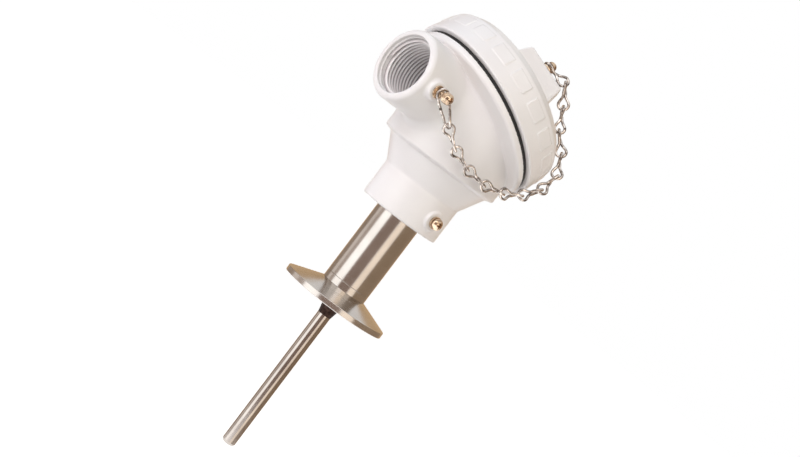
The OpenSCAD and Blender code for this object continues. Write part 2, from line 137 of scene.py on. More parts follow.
# ---------------------------------------------------------------- mesh helpers
def add_mesh(name, verts, faces, material, body, replaces=(), slot=None, sharp=None, normals=None):
    """A mesh piece from points in millimetres, riding on a body."""
    mesh = bpy.data.meshes.new(name)
    mesh.from_pydata([tuple(v) for v in np.asarray(verts) * MM], [], [tuple(map(int, f)) for f in faces])
    mesh.validate()
    mesh.polygons.foreach_set("use_smooth", [True] * len(mesh.polygons))
    if sharp is not None:
        mesh.set_sharp_from_angle(angle=math.radians(sharp))
    if normals is not None:
        mesh.normals_split_custom_set_from_vertices([tuple(n) for n in normals])
    obj = bpy.data.objects.new(name, mesh)
    bpy.context.scene.collection.objects.link(obj)
    mesh.materials.append(material)
    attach(obj, body)
    if replaces:
        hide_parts(*replaces)
    return obj


def rounded(points, radii, steps=6):
    """A profile with its corners rounded. radii holds one radius for each point."""
    out = []
    n = len(points)
    pts = [np.array(p, float) for p in points]
    for i, p in enumerate(pts):
        r = radii[i] if isinstance(radii, (list, tuple)) else radii
        if r <= 0 or i == 0 or i == n - 1:
            out.append(p)
            continue
        u = pts[i - 1] - p
        v = pts[i + 1] - p
        lu, lv = np.linalg.norm(u), np.linalg.norm(v)
        u, v = u / lu, v / lv
        half = math.acos(max(-1, min(1, float(u @ v)))) / 2
        if half > math.radians(88):
            out.append(p)
            continue
        t = min(r / math.tan(half), lu * 0.49, lv * 0.49)
        rr = t * math.tan(half)
        centre = p + (u + v) / np.linalg.norm(u + v) * rr / math.sin(half)
        a, b = p + u * t - centre, p + v * t - centre
        sweep = math.pi - 2 * half
        for k in range(steps + 1):
            f = k / steps
            q = (a * math.sin((1 - f) * sweep) + b * math.sin(f * sweep)) / math.sin(sweep)
            out.append(centre + q)
    return [tuple(q) for q in out]


def supported(profile, gap=0.05):
    """The profile with a point close to each end of every long straight, so that it shades flat."""
    out = [profile[0]]
    for (r0, z0), (r1, z1) in zip(profile, profile[1:]):
        size = math.hypot(r1 - r0, z1 - z0)
        if size > 0.5:
            for f in (gap / size, 1 - gap / size):
                out.append((r0 + (r1 - r0) * f, z0 + (z1 - z0) * f))
        out.append((r1, z1))
    return out


def lathe_arrays(profile, segments=144, turn=None, at=(0, 0, 0)):
    """Points and faces of a profile of (radius, height) pairs turned about z, then moved."""
    verts, rows = [], []
    profile = supported(profile)
    for r, z in profile:
        if r < 1e-6:
            rows.append([len(verts)])
            verts.append((0, 0, z))
        else:
            rows.append(list(range(len(verts), len(verts) + segments)))
            for k in range(segments):
                a = 2 * math.pi * k / segments
                verts.append((r * math.cos(a), r * math.sin(a), z))
    faces = []
    for a, b in zip(rows, rows[1:]):
        for k in range(segments):
            j = (k + 1) % segments
            if len(a) == 1 and len(b) == 1:
                continue
            if len(a) == 1:
                faces.append((a[0], b[j], b[k]))
            elif len(b) == 1:
                faces.append((a[k], a[j], b[0]))
            else:
                faces.append((a[k], a[j], b[j], b[k]))
    verts = np.array(verts, float)
    if turn is not None:
        verts = verts @ np.array(turn).T
    return verts + np.array(at, float), faces


TO_MINUS_Y = np.array([[1, 0, 0], [0, 0, -1], [0, 1, 0]], float)
TO_LID = LID.T


def lathe(name, profile, material, body, segments=144, turn=None, at=(0, 0, 0), sharp=32, **more):
    verts, faces = lathe_arrays(profile, segments, turn, at)
    return add_mesh(name, verts, faces, material, body, sharp=sharp, **more)


# ---------------------------------------------------------------- distance fields
def polygon_distance(x, y, pts):
    """Signed distance to a closed polygon, negative inside."""
    best = np.full(x.shape, 1e9, np.float32)
    inside = np.zeros(x.shape, bool)
    n = len(pts)
    for i in range(n):
        ax, ay = pts[i]
        bx, by = pts[(i + 1) % n]
        ex, ey = bx - ax, by - ay
        l2 = ex * ex + ey * ey
        if l2 < 1e-12:
            continue
        px, py = x - ax, y - ay
        t = np.clip((px * ex + py * ey) / l2, 0, 1)
        d = (px - ex * t) ** 2 + (py - ey * t) ** 2
        np.minimum(best, d, out=best)
        if ay != by:
            cross = ((ay <= y) & (by > y)) | ((by <= y) & (ay > y))
            side = (px * ey - py * ex) * (1 if by > ay else -1) < 0
            inside ^= cross & side
    best = np.sqrt(best)
    return np.where(inside, -best, best)


def round_union(a, b, r):
    u = np.maximum(r - a, 0)
    v = np.maximum(r - b, 0)
    return np.maximum(r, np.minimum(a, b)) - np.sqrt(u * u + v * v)


def round_cut(a, b, r):
    """a without b, with the edge between them rounded."""
    return -round_union(-a, b, r)


def capped(rho, h, radius, low, high, edge=0.0):
    """Distance to a cylinder between two heights, with rounded edges."""
    dx = rho - (radius - edge)
    dy = np.abs(h - (low + high) / 2) - ((high - low) / 2 - edge)
    return np.minimum(np.maximum(dx, dy), 0) + np.hypot(np.maximum(dx, 0), np.maximum(dy, 0)) - edge


def surface(field, low, high, step):
    """Surface nets: points and quads of the zero level of a field, in millimetres."""
    low = np.array(low, float)
    count = np.ceil((np.array(high) - low) / step).astype(int) + 1
    axes = [low[i] + step * np.arange(count[i]) for i in range(3)]
    block = 5
    cgrid = [a[::block] for a in axes]
    cx, cy, cz = np.meshgrid(*cgrid, indexing="ij")
    coarse = field(np.stack([cx.ravel(), cy.ravel(), cz.ravel()], 1)).reshape(cx.shape)
    reach = step * block * 1.9
    near = [np.minimum((np.arange(n) + block // 2) // block, len(cgrid[i]) - 1) for i, n in enumerate(count)]
    value = coarse[np.ix_(*near)].astype(np.float32)
    index = np.argwhere(np.abs(value) < reach)
    pts = low + index * step
    out = np.concatenate([field(c) for c in np.array_split(pts, max(1, len(pts) // 400000))])
    value[tuple(index.T)] = out
    inside = value < 0
    nx, ny, nz = inside.shape
    total = np.zeros((nx - 1, ny - 1, nz - 1), np.int8)
    for dx in (0, 1):
        for dy in (0, 1):
            for dz in (0, 1):
                total += inside[dx:nx - 1 + dx, dy:ny - 1 + dy, dz:nz - 1 + dz]
    active = (total > 0) & (total < 8)
    ids = np.full(active.shape, -1, np.int64)
    cells = np.argwhere(active)
    ids[tuple(cells.T)] = np.arange(len(cells))
    sums = np.zeros((len(cells), 3))
    hits = np.zeros(len(cells))
    corner = {}
    for dx in (0, 1):
        for dy in (0, 1):
            for dz in (0, 1):
                corner[dx, dy, dz] = value[cells[:, 0] + dx, cells[:, 1] + dy, cells[:, 2] + dz].astype(float)
    for a in corner:
        for axis in range(3):
            if a[axis]:
                continue
            b = tuple(1 if i == axis else a[i] for i in range(3))
            va, vb = corner[a], corner[b]
            cut = (va < 0) != (vb < 0)
            t = np.where(cut, va / np.where(cut, va - vb, 1), 0)
            for i in range(3):
                sums[:, i] += np.where(cut, a[i] + (t if i == axis else 0), 0)
            hits += cut
    verts = low + (cells + sums / hits[:, None]) * step
    faces = []
    for axis in range(3):
        o1, o2 = [i for i in range(3) if i != axis]
        sl_a = [slice(None)] * 3
        sl_b = [slice(None)] * 3
        sl_a[axis] = slice(0, -1)
        sl_b[axis] = slice(1, None)
        cross = inside[tuple(sl_a)] != inside[tuple(sl_b)]
        edges = np.argwhere(cross)
        ok = (edges[:, o1] > 0) & (edges[:, o2] > 0) & (edges[:, o1] < count[o1] - 1) & (edges[:, o2] < count[o2] - 1)
        edges = edges[ok]
        first = inside[tuple(edges.T)]
        quad = []
        for d1, d2 in ((-1, -1), (0, -1), (0, 0), (-1, 0)):
            e = edges.copy()
            e[:, o1] += d1
            e[:, o2] += d2
            quad.append(ids[tuple(e.T)])
        quad = np.stack(quad, 1)
        flip = first if axis != 1 else ~first
        quad = np.where(flip[:, None], quad, quad[:, ::-1])
        faces.append(quad)
    faces = np.concatenate(faces)
    verts = settle(field, verts, step)
    return verts, faces


def slope(field, verts, e=0.02):
    g = np.empty((len(verts), 3))
    for i in range(3):
        d = np.zeros(3)
        d[i] = e
        g[:, i] = (field(verts + d) - field(verts - d)) / (2 * e)
    return g


def settle(field, verts, step, turns=2):
    for _ in range(turns):
        g = slope(field, verts)
        f = field(verts)
        move = g * (f / np.maximum((g * g).sum(1), 0.25))[:, None]
        length = np.linalg.norm(move, axis=1, keepdims=True)
        verts = verts - move * np.minimum(1, 0.6 * step / np.maximum(length, 1e-9))
    return verts


def cast_piece(name, field, low, high, step, ratio, material, body, turn=None, at=(0, 0, 0), **more):
    """A casting from a distance field: meshed, thinned where it is flat, and shaded by the field."""
    verts, faces = surface(field, low, high, step)
    fan = verts[faces]
    if np.einsum("ij,ij->i", fan[:, 0], np.cross(fan[:, 1] - fan[:, 0], fan[:, 2] - fan[:, 0])).sum() < 0:
        faces = faces[:, ::-1]
    mesh = bpy.data.meshes.new(name + "_raw")
    mesh.from_pydata([tuple(v) for v in verts * MM], [], [tuple(map(int, f)) for f in faces])
    if ratio < 1:
        tmp = bpy.data.objects.new(name + "_raw", mesh)
        bpy.context.scene.collection.objects.link(tmp)
        thin = tmp.modifiers.new("thin", "DECIMATE")
        thin.ratio = ratio
        thin.use_collapse_triangulate = True
        dg = bpy.context.evaluated_depsgraph_get()
        done = tmp.evaluated_get(dg).to_mesh()
        co = np.empty(len(done.vertices) * 3)
        done.vertices.foreach_get("co", co)
        verts = co.reshape(-1, 3) / MM
        loops = np.empty(len(done.loops), int)
        done.loops.foreach_get("vertex_index", loops)
        starts = np.empty(len(done.polygons), int)
        totals = np.empty(len(done.polygons), int)
        done.polygons.foreach_get("loop_start", starts)
        done.polygons.foreach_get("loop_total", totals)
        faces = [loops[s:s + t] for s, t in zip(starts, totals)]
        bpy.data.objects.remove(tmp)
        verts = settle(field, verts, step)
    bpy.data.meshes.remove(mesh)
    g = slope(field, verts, 0.06)
    g /= np.maximum(np.linalg.norm(g, axis=1, keepdims=True), 1e-9)
    if turn is not None:
        verts, g = verts @ np.array(turn).T, g @ np.array(turn).T
    verts = verts + np.array(at, float)
    return add_mesh(name, verts, faces, material, body, normals=g, **more)


# ---------------------------------------------------------------- materials
class Nodes:
    """Short calls for building a node material."""

    def __init__(self, name):
        self.mat = bpy.data.materials.new(name)
        self.mat.use_nodes = True
        self.tree = self.mat.node_tree
        self.bsdf = self.tree.nodes["Principled BSDF"]

    def node(self, kind, **values):
        n = self.tree.nodes.new("ShaderNode" + kind)
        for key, value in values.items():
            if key in n.inputs:
                n.inputs[key].default_value = value
            else:
                setattr(n, key, value)
        return n

    def link(self, a, b):
        self.tree.links.new(a, b)

    def set(self, **values):
        for key, value in values.items():
            self.bsdf.inputs[key.replace("_", " ")].default_value = value

    def place(self):
        return self.node("TexCoord").outputs["Object"]

    def turned(self):
        """Coordinates that depend only on height and distance from the z axis."""
        xyz = self.node("SeparateXYZ")
        self.link(self.place(), xyz.inputs[0])
        flat = self.node("CombineXYZ")
        self.link(xyz.outputs["X"], flat.inputs["X"])
        self.link(xyz.outputs["Y"], flat.inputs["Y"])
        length = self.node("VectorMath", operation="LENGTH")
        self.link(flat.outputs[0], length.inputs[0])
        out = self.node("CombineXYZ")
        self.link(length.outputs["Value"], out.inputs["X"])
        self.link(xyz.outputs["Z"], out.inputs["Z"])
        return out.outputs[0]

    def noise(self, where, scale, detail=2.0, rough=0.5):
        n = self.node("TexNoise", Scale=scale, Detail=detail, Roughness=rough)
        self.link(where, n.inputs["Vector"])
        return n.outputs["Fac"]

    def ramp(self, fac, stops):
        n = self.node("ValToRGB")
        elements = n.color_ramp.elements
        while len(elements) < len(stops):
            elements.new(0.5)
        for e, (pos, colour) in zip(elements, stops):
            e.position = pos
            e.color = colour if len(colour) == 4 else (*colour, 1)
        self.link(fac, n.inputs["Fac"])
        return n.outputs["Color"]

    def span(self, fac, low, high, start=0.0, end=1.0):
        n = self.node("MapRange")
        n.inputs["From Min"].default_value = start
        n.inputs["From Max"].default_value = end
        n.inputs["To Min"].default_value = low
        n.inputs["To Max"].default_value = high
        self.link(fac, n.inputs["Value"])
        return n.outputs["Result"]

    def bump(self, height, distance, strength=1.0, after=None):
        n = self.node("Bump", Strength=strength, Distance=distance)
        self.link(height, n.inputs["Height"])
        if after is not None:
            self.link(after, n.inputs["Normal"])
        return n.outputs["Normal"]


def linear(*rgb):
    return tuple(c / 12.92 if c <= 0.04045 else ((c + 0.055) / 1.055) ** 2.4 for c in (v / 255 for v in rgb)) + (1.0,)


def paint_material(name):
    m = Nodes(name)
    where = m.place()
    tone = m.noise(where, 38.0, 3.0)
    m.link(m.ramp(tone, [(0.3, linear(238, 233, 231)), (0.7, linear(243, 239, 237))]), m.bsdf.inputs["Base Color"])
    m.link(m.span(m.noise(where, 900.0, 2.0), 0.34, 0.46), m.bsdf.inputs["Roughness"])
    cast = m.bump(m.noise(where, 95.0, 3.0), 0.00022, 0.35)
    m.link(m.bump(m.noise(where, 720.0, 2.0), 0.00005, 0.4, cast), m.bsdf.inputs["Normal"])
    m.set(Specular_IOR_Level=0.5, Coat_Weight=0.15, Coat_Roughness=0.25)
    return m.mat


def turned_material(name, dark, pale, rough=(0.13, 0.24), lines=5200.0, depth=0.000012):
    m = Nodes(name)
    around = m.turned()
    fine = m.noise(around, lines, 3.0, 0.65)
    broad = m.noise(around, 260.0, 2.0)
    m.link(m.ramp(m.noise(m.place(), 70.0, 4.0), [(0.3, dark), (0.72, pale)]), m.bsdf.inputs["Base Color"])
    m.set(Metallic=1.0)
    m.link(m.span(fine, *rough), m.bsdf.inputs["Roughness"])
    soft = m.bump(broad, 0.00003, 0.25)
    m.link(m.bump(fine, depth, 0.5, soft), m.bsdf.inputs["Normal"])
    return m.mat


def wire_material(name, dark, pale, rough=(0.2, 0.36)):
    m = Nodes(name)
    where = m.place()
    # base colour ramp by noise: for the nickel chain and screws the wide dark-to-pale span is painted reflection, dark
    # patches and pale glints; brass and green get only a narrow random tone
    m.link(m.ramp(m.noise(where, 420.0, 4.0, 0.6), [(0.32, dark), (0.68, pale)]), m.bsdf.inputs["Base Color"])
    m.set(Metallic=1.0)
    m.link(m.span(m.noise(where, 900.0, 3.0), *rough), m.bsdf.inputs["Roughness"])
    m.link(m.bump(m.noise(where, 1500.0, 3.0), 0.00003, 0.35), m.bsdf.inputs["Normal"])
    return m.mat


def matt_material(name, dark, pale, rough=0.6, scale=400.0, depth=0.00004, metallic=0.0, coat=0.0):
    m = Nodes(name)
    where = m.place()
    m.link(m.ramp(m.noise(where, scale, 3.0), [(0.3, dark), (0.7, pale)]), m.bsdf.inputs["Base Color"])
    m.set(Metallic=metallic, Coat_Weight=coat)
    m.link(m.span(m.noise(where, scale * 2, 2.0), rough - 0.06, rough + 0.06), m.bsdf.inputs["Roughness"])
    m.link(m.bump(m.noise(where, scale * 3, 3.0), depth, 0.5), m.bsdf.inputs["Normal"])
    return m.mat


PAINT = paint_material("satin_paint")
STEEL = turned_material("turned_steel", linear(186, 180, 174), linear(200, 195, 190))
CAP_STEEL = turned_material("faced_steel", linear(190, 184, 179), linear(204, 200, 195), depth=0.000002)
SHEATH = turned_material("drawn_steel", linear(170, 162, 156), linear(190, 184, 178), (0.09, 0.15), 3800.0, 0.000006)
WELD = matt_material("weld", linear(34, 25, 22), linear(70, 54, 48), 0.42, 700.0, 0.00004, 1.0)
# nickel chain: the wide dark-to-pale span is painted reflection, dark patches and pale glints in the base colour
NICKEL_PAINTED_REFLECTION = wire_material("nickel_wire_painted_reflection", linear(70, 55, 47), linear(246, 238, 232), (0.12, 0.22))
# screws and washers: the wide dark-to-pale span is painted reflection, dark patches and pale glints in the base colour
SCREW_PAINTED_REFLECTION = wire_material("nickel_screw_painted_reflection", linear(112, 82, 60), linear(246, 222, 194), (0.1, 0.2))
RUBBER = matt_material("rubber", linear(8, 7, 7), linear(20, 17, 17), 0.6, 500.0)
CERAMIC = matt_material("glazed_ceramic", linear(236, 231, 219), linear(244, 240, 231), 0.22, 300.0, 0.00002, 0.0, 0.4)
POWDER = matt_material("powder", linear(214, 208, 196), linear(232, 227, 217), 0.85, 1500.0, 0.00008)
RESIN = matt_material("resin", linear(46, 34, 28), linear(66, 52, 44), 0.4, 300.0)
BRASS = wire_material("brass", linear(196, 152, 74), linear(222, 184, 108), (0.2, 0.32))
RED = matt_material("red_wire", linear(150, 28, 20), linear(176, 40, 30), 0.4, 500.0, 0.00002)
WHITE = matt_material("white_wire", linear(222, 219, 210), linear(236, 233, 226), 0.4, 500.0, 0.00002)
GREEN = wire_material("green_screw", linear(62, 110, 70), linear(90, 146, 98), (0.24, 0.34))

for node, material in {
        "sensing_element": CERAMIC, "insulation": POWDER, "end_seal": RESIN, "terminal_block": CERAMIC,
        "terminal_1": BRASS, "terminal_2": BRASS, "terminal_3": BRASS, "terminal_screws": BRASS,
        "block_screws": SCREW_PAINTED_REFLECTION, "lead_wire_1": RED, "lead_wire_2": RED, "lead_wire_3": WHITE,
        "ground_screw": GREEN}.items():
    obj = bpy.data.objects.get(node) or nodes[node]
    for s in obj.material_slots:
        s.material = material

# ---------------------------------------------------------------- probe, clamp cap and nipple
ROOT = "probe_and_head"
lathe("probe_tube", rounded([(0, -PROBE_LEN), (SHEATH_R, -PROBE_LEN), (SHEATH_R, 24), (2.475, 24), (2.475, -72)],
                            [0, 1.2, 0.15, 0.1, 0], 10),
      SHEATH, ROOT, 96, replaces=("sheath", "tip_plug"), slot="stainless")

lathe("weld_fillet", rounded([(SHEATH_R - 0.02, -WELD_LEN), (WELD_R, -0.5), (WELD_R, 0.9), (SHEATH_R, 0.9)],
                             [0, 0.4, 0, 0], 6), WELD, ROOT, 96, replaces=("weld_cone",), slot="weld")

groove = [(21.85 - 1.5 * math.cos(math.radians(a)), 1.5 * math.sin(math.radians(a))) for a in range(0, 181, 15)]
cap = [(SHEATH_R, 1.0), (WELD_R, 1.0), (WELD_R, 0)] + groove
cap += rounded([(23.35, 0), (CAP_R, 0), (CAP_R, RIM_H), (NIPPLE_R - 0.1, CAP_H)], [0, 0.3, 0.35, 0], 5)[1:]
cap += [(SHEATH_R, CAP_H)]
lathe("clamp_cap_turned", cap, CAP_STEEL, ROOT, 192, sharp=24, replaces=("clamp_cap",), slot="stainless")

hub = CAP_H + 3.3
lathe("nipple_pipe", [(NIPPLE_BORE, CAP_H), (NIPPLE_R, CAP_H), (NIPPLE_R, hub - 0.16), (NIPPLE_R - 0.13, hub),
                      (NIPPLE_R, hub + 0.16), (NIPPLE_R, NIPPLE_TOP - 0.5), (NIPPLE_R - 0.5, NIPPLE_TOP),
                      (NIPPLE_BORE, NIPPLE_TOP), (NIPPLE_BORE, CAP_H)],
      STEEL, ROOT, 160, sharp=30, replaces=("nipple",), slot="stainless")


# ---------------------------------------------------------------- housing
BODY = rounded([(-6, NECK_Z), (NECK_R, NECK_Z), (NECK_R, NECK_Z + NECK_H), (CONE_R, NECK_Z + NECK_H + CONE_H),
                (DRUM_R, DRUM_Z + 0.2), (DRUM_R, 140), (-6, 140)], [0, 0.8, 1.5, 0.5, 1.0, 0, 0], 4)
HOLLOW = [(-6, NIPPLE_TOP), (NIPPLE_BORE, NIPPLE_TOP), (NIPPLE_BORE, NECK_FLOOR_Z), (NECK_R - WALL, NECK_FLOOR_Z),
          (CONE_R - WALL, DRUM_FLOOR_Z), (DRUM_R - WALL, DRUM_FLOOR_Z), (DRUM_R - WALL, 145), (-6, 145)]


def housing_field(p):
    """The head: body, conduit entry, two bosses, lid flange and collar, then everything hollow."""
    x, y, z = p[:, 0], p[:, 1], p[:, 2]
    rho = np.hypot(x, y)
    q = to_lid(p)
    rl, h = np.hypot(q[:, 0], q[:, 1]), q[:, 2]
    d = polygon_distance(rho, z, BODY)
    along, off = -x, np.hypot(y, z - ENTRY_Z)
    d = round_union(d, capped(off, along, ENTRY_R, 5, ENTRY_REACH, 2.1), 3.5)
    d = round_union(d, capped(np.hypot(x + HOOK_X, z - HOOK_Z), -y, BOSS_R, HOOK_Y - 6, HOOK_Y, 0.9), 1.2)
    d = round_union(d, capped(np.hypot(x, z - SET_Z), -y, BOSS_R, NECK_R - 6, NECK_R + 0.8, 0.5), 0.8)
    d = np.maximum(d, h - FLANGE_TOP)
    rim = -round_union(-np.maximum(rl - FLANGE_R, h - FLANGE_TOP), -(FLANGE_FOOT - h), 1.7)
    d = round_union(d, -round_union(-rim, -np.maximum(rl - FLANGE_R, h - FLANGE_TOP), 0.4), 0.8)
    d = np.minimum(d, capped(rl, h, COLLAR_R, FLANGE_FOOT + 1, FLANGE_TOP + COLLAR_H, 0.6))
    hollow = np.maximum(polygon_distance(rho, z, HOLLOW), h - FLANGE_TOP)
    hollow = np.minimum(hollow, capped(rl, h, COLLAR_BORE, FLANGE_TOP - 1, 30))
    hollow = np.minimum(hollow, capped(rho, z, NIPPLE_R + 0.05, 30, NIPPLE_TOP))
    d = np.maximum(d, -hollow)
    d = np.maximum(d, -capped(off, along, ENTRY_BORE + 0.05, 14, ENTRY_REACH - MOUTH_DEPTH - 0.8))
    d = np.maximum(d, -capped(off, along, FIRST_RING_R, 14, 60))
    lip = np.maximum(off - MOUTH_R + (ENTRY_REACH - MOUTH_DEPTH - along) * 0.9, ENTRY_REACH - MOUTH_DEPTH - 1.4 - along)
    lip = np.maximum(lip, off - MOUTH_R)
    d = round_cut(d, lip, 0.35)
    return d


cast_step, screw_step = ((0.5, 0.13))
cast_piece("housing_casting", housing_field, (-52.5, -41, 45.5), (34.5, 41, 135.5), cast_step, 0.5, PAINT,
           ROOT, replaces=("housing",), slot="paint")

# ---------------------------------------------------------------- conduit thread
THREAD_ROOT = ENTRY_BORE + 0.04


def thread_material(name):
    """Paint with painted light, by distance from the bore's axis: a painted highlight whitens the crests and painted
    shade greys the roots.
    """
    m = Nodes(name)
    xyz = m.node("SeparateXYZ")
    m.link(m.place(), xyz.inputs[0])
    up = m.node("Math", operation="SUBTRACT")
    m.link(xyz.outputs["Z"], up.inputs[0])
    up.inputs[1].default_value = ENTRY_Z * MM
    flat = m.node("CombineXYZ")
    m.link(xyz.outputs["Y"], flat.inputs["X"])
    m.link(up.outputs[0], flat.inputs["Y"])
    off = m.node("VectorMath", operation="LENGTH")
    m.link(flat.outputs[0], off.inputs[0])
    depth = m.span(off.outputs["Value"], 0.0, 1.0, THREAD_CREST * MM, THREAD_ROOT * MM)
    # painted highlight on the crests fading to painted shade at the roots
    m.link(m.ramp(depth, [(0.0, linear(255, 253, 252)), (0.3, linear(246, 240, 238)),
                          (0.75, linear(200, 192, 192)), (1.0, linear(174, 166, 167))]), m.bsdf.inputs["Base Color"])
    m.link(m.span(m.noise(m.place(), 900.0), 0.36, 0.46), m.bsdf.inputs["Roughness"])
    m.link(m.bump(m.noise(m.place(), 700.0), 0.00003, 0.4), m.bsdf.inputs["Normal"])
    return m.mat


def thread_arrays(steps=96):
    """One long helix that runs inwards from the mouth and starts lower than it ends."""
    section = [(0.0, THREAD_ROOT), (0.22, THREAD_ROOT), (0.72, THREAD_CREST), (1.12, THREAD_CREST),
               (1.62, THREAD_ROOT), (THREAD_PITCH, THREAD_ROOT)]
    start = ENTRY_REACH - MOUTH_DEPTH - 0.9
    verts, faces = [], []
    for k in range(THREAD_TURNS * steps + 1):
        a = 2 * math.pi * k / steps
        s = start - THREAD_PITCH * k / steps
        fade = min(1, 0.7 + k / 200)
        for ds, r in section:
            rr = THREAD_ROOT - (THREAD_ROOT - r) * fade
            verts.append((ds - s, rr * math.cos(a), ENTRY_Z + rr * math.sin(a)))
    n = len(section)
    for k in range(THREAD_TURNS * steps):
        for j in range(n - 1):
            a, b = k * n + j, (k + 1) * n + j
            faces.append((b, b + 1, a + 1, a))
    return verts, faces


add_mesh("conduit_thread", *thread_arrays(), thread_material("thread_paint_painted_light"), ROOT, sharp=30, slot="paint")

# ---------------------------------------------------------------- collar thread and gasket
collar = []
hz = FLANGE_TOP + 2.2
while hz < FLANGE_TOP + COLLAR_H - 1.6:
    collar += [(COLLAR_R - 0.2, hz), (COLLAR_R + 0.45, hz + 0.55), (COLLAR_R + 0.45, hz + 0.85),
               (COLLAR_R - 0.2, hz + 1.4)]
    hz += 2.0
lathe("collar_thread", collar, PAINT, ROOT, 144, TO_LID, LID_AT, sharp=30, slot="paint")

lip = [(36.1, -1.4), (36.1, 0.3), (36.5, 0.62), (37.9, 0.64), (38.3, 0.4), (38.34, 0.0), (38.3, -0.5), (38.05, -0.88),
       (38.05, -1.4), (36.1, -1.4)]
lathe("gasket_ring", rounded(lip, [0] + [0.15] * 8 + [0], 3), RUBBER, ROOT, 192, TO_LID, LID_AT, sharp=60,
      replaces=("cover_gasket",), slot="gasket")


# ---------------------------------------------------------------- cover
COVER_WALL = rounded([(-6, RIM_Z), (COVER_R, RIM_Z), (COVER_R - DRAFT - 0.1, SHOULDER_Z + 1.3),
                      (DOME_EDGE + 1.4, DOME_Z - 0.1), (DOME_EDGE - 3, DOME_Z), (-6, DOME_Z)],
                     [0, 0.7, 1.4, 1.8, 0, 0], 5)


def cover_field(q):
    """The cover in the lid's own frame: wall and dome, grip rib, grip pads, and the room inside."""
    rl, h = np.hypot(q[:, 0], q[:, 1]), q[:, 2]
    dome_r = (DOME_EDGE ** 2 + DOME_H ** 2) / (2 * DOME_H)
    mid = DOME_TOP - dome_r
    drawn = rl + DRAFT * np.clip((h - RIM_Z) / (SHOULDER_Z - RIM_Z), 0, 1)
    far = np.hypot(rl, h - mid)
    dome = -round_union(-(far - dome_r), -(rl - DOME_EDGE + 0.8), 2.0)
    d = round_union(polygon_distance(rl, h, COVER_WALL), np.maximum(dome, 10 - h), 2.2)
    ca, sa = math.cos(RIB_TURN), math.sin(RIB_TURN)
    a, b = q[:, 0] * ca + q[:, 1] * sa, -q[:, 0] * sa + q[:, 1] * ca
    drop = RIB_TOP - h
    end = (np.abs(a) - RIB_LEN / 2 - drop * RIB_SLOPE) * math.cos(math.atan(RIB_SLOPE))
    lean = 2 / (RIB_TOP - DOME_Z)
    side = (np.abs(b) - RIB_W / 2 - drop * lean) * math.cos(math.atan(lean))
    rib = -round_union(-(-drop), -end, 1.0)
    rib = -round_union(-rib, -side, 0.9)
    d = round_union(d, np.maximum(rib, DOME_Z - h), 2.0)
    angle = np.arctan2(q[:, 1], q[:, 0])
    part = 2 * math.pi / PADS
    local = np.mod(angle, part) - part / 2
    e = 0.3
    bx = np.abs(rl * np.sin(local)) - (PAD_HALF_W - e)
    bz = np.abs(h - (SHOULDER_Z - PAD_DROP)) - (PAD_HALF_H - e)
    br = drawn * np.cos(local) - (COVER_R + PAD_PROUD - e)
    pad = np.hypot(np.hypot(np.maximum(bx, 0), np.maximum(bz, 0)), np.maximum(br, 0)) \
        + np.minimum(np.maximum(np.maximum(bx, bz), br), 0) - e
    pad = np.maximum(pad, COVER_R - 2 - drawn)
    d = round_union(d, pad, 0.4)
    inner = capped(rl, h, COLLAR_R + 0.7, -5, SHOULDER_Z - 1, 0.5)
    inner = np.minimum(inner, np.maximum(np.maximum(far - dome_r + COVER_SKIN, rl - 32.5), 9 - h))
    return np.maximum(d, -inner)


cast_piece("cover_casting", cover_field, (-42.5, -42.5, 0), (42.5, 42.5, RIB_TOP + 1.5), cast_step,
           0.55, PAINT, "cover", TO_LID, LID_AT, replaces=("cover",), slot="paint")


# ---------------------------------------------------------------- screws
def screw_field(d, head_d, head_h, length, thread_from, turn):
    """A pan-head screw with a cross recess: head on +z, its underside at z = 0."""
    bulge = (head_d ** 2 / 4 + head_h ** 2) / (2 * head_h)

    def field(p):
        rho, z = np.hypot(p[:, 0], p[:, 1]), p[:, 2]
        dome = np.hypot(rho, z - head_h + bulge) - bulge
        head = -round_union(-np.maximum(dome, -z), -(rho - head_d / 2 + 0.15), 0.3)
        angle = np.arctan2(p[:, 1], p[:, 0])
        wave = np.abs(np.mod(z / 0.6 - angle / (2 * math.pi), 1) - 0.5) * 2
        depth = 0.22 * np.clip((-thread_from - z) / 0.3, 0, 1)
        shank = np.maximum((rho - d / 2 + depth * wave) * 0.8, np.maximum(z, -length - z))
        best = np.minimum(head, shank)
        for k in (0, 1):
            t = turn + k * math.pi / 2
            a = p[:, 0] * math.cos(t) + p[:, 1] * math.sin(t)
            b = -p[:, 0] * math.sin(t) + p[:, 1] * math.cos(t)
            deep = head_h * 0.38
            reach = np.abs(a) - head_d * 0.27 - (z - head_h) * 0.45
            slot = np.maximum(np.maximum(reach * 0.9, np.abs(b) - head_d * 0.062 - (z - head_h) * 0.06), deep - z)
            best = -round_union(-best, slot, 0.06)
        return best

    return field


def add_screw(name, d, head_d, head_h, length, turn_to, at, body, node, thread_from=0.4, spin=0.4):
    r = head_d / 2 + 0.3
    cast_piece(name, screw_field(d, head_d, head_h, length, thread_from, spin), (-r, -r, -length - 0.3),
               (r, r, head_h + 0.3), screw_step, 0.6, SCREW_PAINTED_REFLECTION, body, turn_to, at,
               replaces=(node,), slot="screws")


def washer(name, inner, outer, low, high, turn_to, at, body):
    lathe(name, rounded([(inner, low), (outer, low), (outer, high), (inner, high), (inner, low)],
                        [0, 0.12, 0.18, 0.1, 0], 4), SCREW_PAINTED_REFLECTION, body, 64, turn_to, at, sharp=50, slot="screws")


